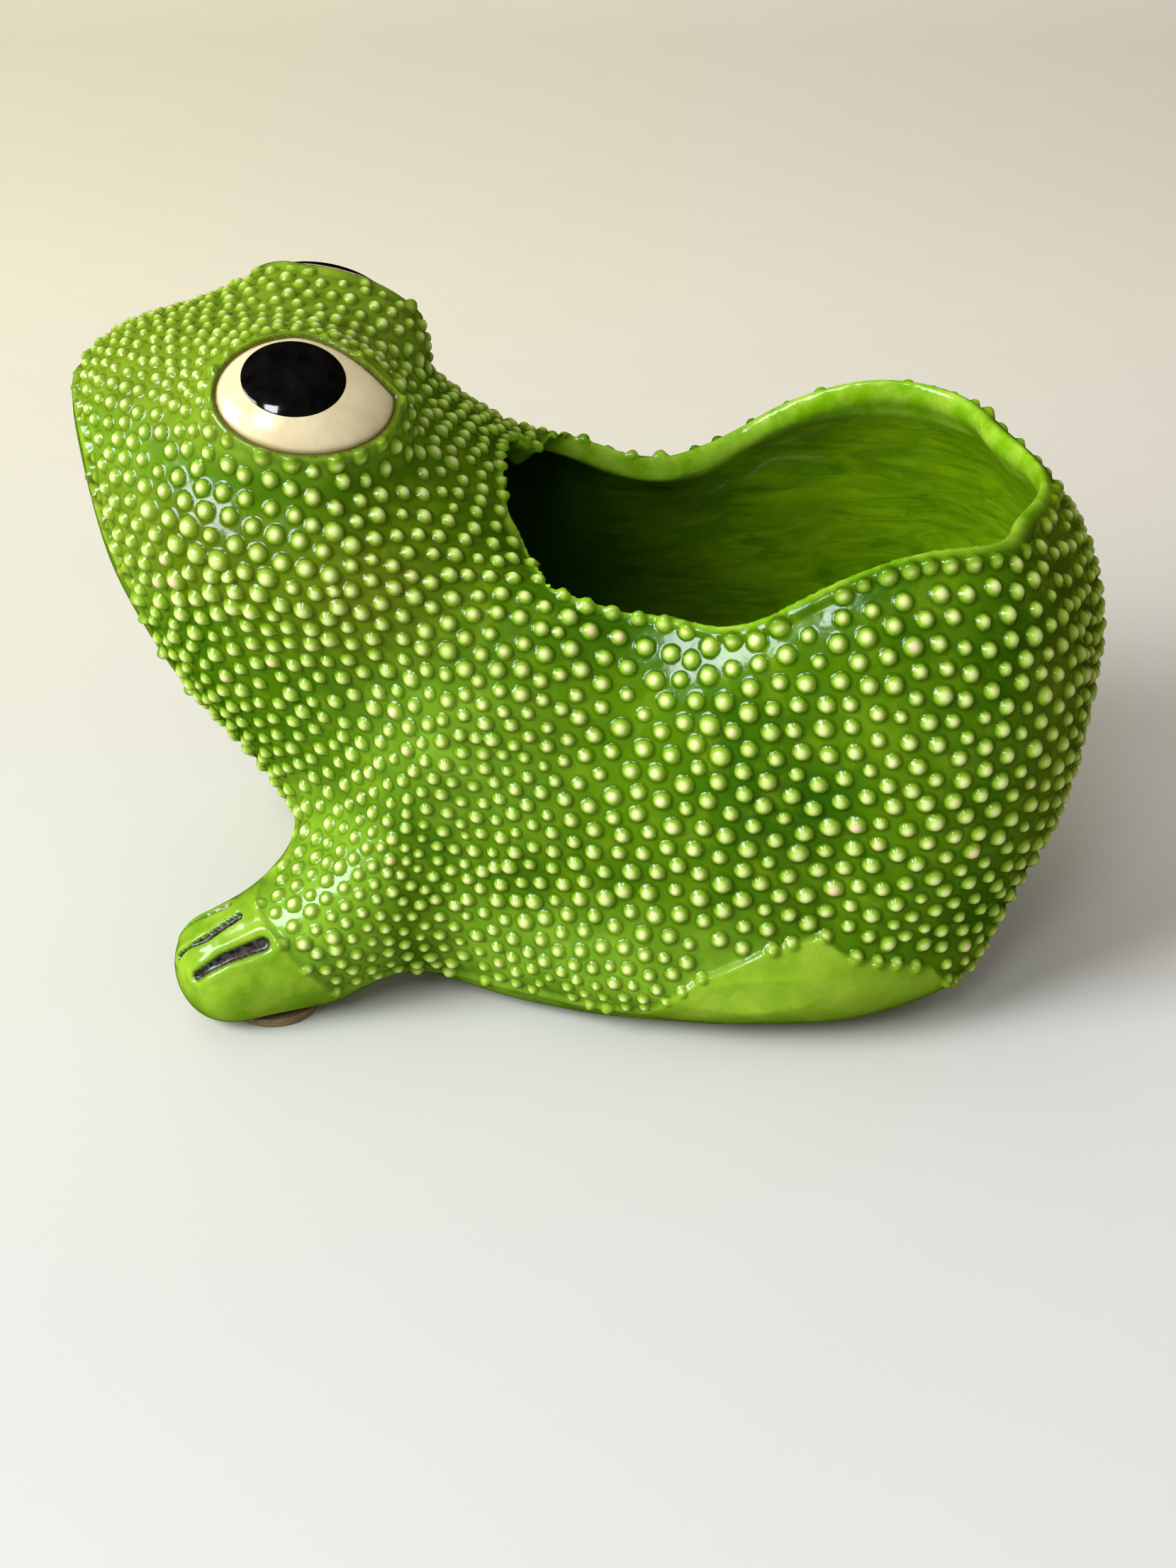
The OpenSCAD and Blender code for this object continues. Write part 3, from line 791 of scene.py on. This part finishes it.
rings = [0.12, 0.25, 0.38, 0.5, 0.6, 0.7, 0.78, 0.85, 0.91, 0.95, 0.98, 1.0]
PU_C = np.array([-2.75, 2.4])
for side, tag in ((-1, "left"), (1, "right")):
    c, u, v, n = eye_frame(side)

    def place(q):
        w = c + q[:, :1] * u + q[:, 1:2] * v + q[:, 2:3] * n
        return w * MM

    cen = EYE_OUT.mean(0)
    bulge = lambda a, b, r: dome(a, b) + 0.15 + 1.25 * (1 - r ** 2.2) ** 0.75 * (r < 1) - 0.55 * ease(0.93, 1.0, r)
    q, f = disc(EYE_OUT * 0.985, cen, rings, bulge, 2.6)
    if side < 0:
        f = [tuple(reversed(t)) for t in f]
    f = [tuple(reversed(t)) for t in f]
    edge = np.abs(poly_dist(q[:, :2], EYE_OUT * 0.985))
    piece(tag + "_eyeball", place(q), f, EYE, attrs={"edge": edge}, nodes=(tag + "_eye",))
    angs = np.linspace(0, 2 * math.pi, 72, endpoint=False)
    pu = np.stack([PU_C[0] + 10.5 * np.cos(angs), PU_C[1] + 9.15 * np.sin(angs)], 1)

    def on_eye(a, b):
        d = np.array([a, b]) - cen
        # how far out the point is, as a share of the eye's edge in that direction
        k = np.argmin(np.abs(np.angle(np.exp(1j * (np.arctan2(EYE_OUT[:, 1] - cen[1], EYE_OUT[:, 0] - cen[0]) - math.atan2(d[1], d[0]))))))
        r = min(np.linalg.norm(d) / np.linalg.norm(EYE_OUT[k] - cen), 0.999)
        return bulge(a, b, r)

    ph = lambda a, b, r: on_eye(a, b) + 0.28 * (1 - r ** 6) + 0.02
    q, f = disc(pu, PU_C, rings, ph, 1.2)
    if side < 0:
        f = [tuple(reversed(t)) for t in f]
    f = [tuple(reversed(t)) for t in f]
    piece(tag + "_pupil_glaze", place(q), f, PUPIL, nodes=(tag + "_pupil",))

for name in ("front_left_pad", "front_right_pad", "rear_left_pad", "rear_right_pad"):
    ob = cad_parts[name]
    ob.data.materials.clear()
    ob.data.materials.append(PAD)

# ------------------------------------------------------ floor, light, camera --
def floor_mat():
    m = Mat("floor_paper")
    sep = m.t.nodes.new("ShaderNodeSeparateXYZ")
    m.link(m.tc.outputs["Object"], sep.inputs[0])
    far = m.span(sep.outputs["Y"], -0.15, 0.42)
    n = m.noise(40, 5, 0.6)
    side = m.span(sep.outputs["X"], -0.35, 0.35)
    # painted shade: the near floor is coloured darker towards the left, where the key light falls
    c = m.mix(far, m.mix(side, srgb(188, 191, 183), srgb(213, 208, 210)), m.mix(side, srgb(230, 223, 198), srgb(225, 218, 208)))
    c = m.mix(m.span(n, 0.3, 0.7, 0, 0.06), c, srgb(200, 196, 180))
    m.set(Base_Color=c, Roughness=0.75)
    m.bump(m.noise(1500, 2), 0.05, 0.0002)
    return m.m


FL = floor_mat()
rows = []
for i in range(25):
    t = i / 24
    if t < 0.5:
        rows.append((-1.6 + t / 0.5 * 2.4, 0.0))
    else:
        a = (t - 0.5) / 0.5 * math.pi / 2
        rows.append((0.8 + 0.5 * math.sin(a), 0.5 * (1 - math.cos(a))))
rows.append((1.3, 2.2))
fv, ff = [], []
for y, z in rows:
    for x in (-2.2, -1.1, 0, 1.1, 2.2):
        fv.append((x, y, z - 0.0001))
for i in range(len(rows) - 1):
    for j in range(4):
        a = i * 5 + j
        ff.append((a, a + 1, a + 6, a + 5))
me = bpy.data.meshes.new("floor")
me.from_pydata(fv, [], ff)
me.polygons.foreach_set("use_smooth", [True] * len(me.polygons))
me.materials.append(FL)
floor = bpy.data.objects.new("floor", me)
scene.collection.objects.link(floor)


def area(name, loc, target, size, power, color, size_y=None):
    l = bpy.data.lights.new(name, "AREA")
    l.energy = power
    l.color = color
    l.shape = "RECTANGLE"
    l.size = size
    l.size_y = size_y or size
    ob = bpy.data.objects.new(name, l)
    ob.location = loc
    ob.rotation_euler = (Vector(target) - Vector(loc)).to_track_quat("-Z", "Y").to_euler()
    scene.collection.objects.link(ob)
    return ob


key = area("key", (-1.15, -0.60, 0.80), (-0.01, 0, 0.06), 0.75, 13.5, (1.0, 0.99, 0.95))
key.visible_glossy = False
area("window", (-1.0, -0.72, 0.86), (-0.02, 0, 0.06), 0.68, 20.0, (0.88, 0.95, 1.0), 0.88)
area("far_pane", (-0.22, -1.0, 1.02), (-0.05, 0, 0.1), 0.28, 3.6, (0.86, 0.93, 1.0), 0.34)
fill = area("room_front", (0.4, -1.5, 1.2), (0, 0, 0.06), 1.6, 3.0, (1.0, 0.95, 0.88))
fill.visible_glossy = False
top = area("ceiling", (-0.5, 0.35, 1.9), (0, 0, 0.0), 1.6, 6.0, (1.0, 0.97, 0.92))
top.visible_glossy = False
floor.visible_glossy = False
w = bpy.data.worlds.new("room")
scene.world = w
w.use_nodes = True
w.node_tree.nodes["Background"].inputs[0].default_value = (0.95, 0.93, 0.88, 1)
w.node_tree.nodes["Background"].inputs[1].default_value = 0.34
w.cycles_visibility.glossy = False

cam = bpy.data.cameras.new("camera")
cam.lens = 58.25
cam.sensor_width = 36
cam.sensor_fit = "AUTO"
cam.clip_start = 0.01
cam.clip_end = 20
cob = bpy.data.objects.new("camera", cam)
phi, az = math.radians(30.5), math.radians(1.3)
c, s_, ca, sa = math.cos(phi), math.sin(phi), math.cos(az), math.sin(az)
fwd = Vector((-sa * c, ca * c, -s_))
up = Vector((-sa * s_, ca * s_, c))
right = Vector((ca, sa, 0))
pos = Vector((SHIFT * MM, 0, 0.0313)) - fwd * 0.589
cob.matrix_world = Matrix(((right.x, up.x, -fwd.x, pos.x), (right.y, up.y, -fwd.y, pos.y),
                           (right.z, up.z, -fwd.z, pos.z), (0, 0, 0, 1)))
scene.collection.objects.link(cob)
scene.camera = cob
scene.view_settings.view_transform = "Standard"
